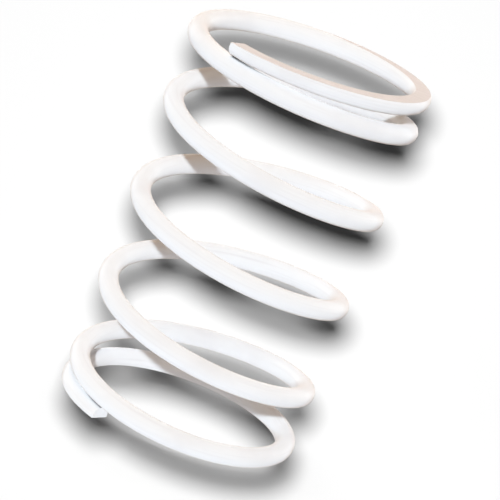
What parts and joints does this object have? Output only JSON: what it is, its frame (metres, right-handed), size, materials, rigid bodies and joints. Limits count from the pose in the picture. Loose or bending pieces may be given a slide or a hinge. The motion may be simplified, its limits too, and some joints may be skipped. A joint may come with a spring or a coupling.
{
  "type": "compression spring",
  "caption": "Left-hand round-wire compression spring with closed, flat-ground ends and a white coating, used in a driven pulley.",
  "frame": {"origin": "on the coil's axis, in the plane of the lower ground end", "axes": "+Z along the coil's axis towards the upper ground end; both wire tips lie on the front left, at -Y and -X"},
  "size_m": [0.0604, 0.0604, 0.098],
  "materials": {
    "coating": "satin white powder coat"
  },
  "bodies": {
    "root": {"coil_spring": "coating"}
  },
  "joints": []
}
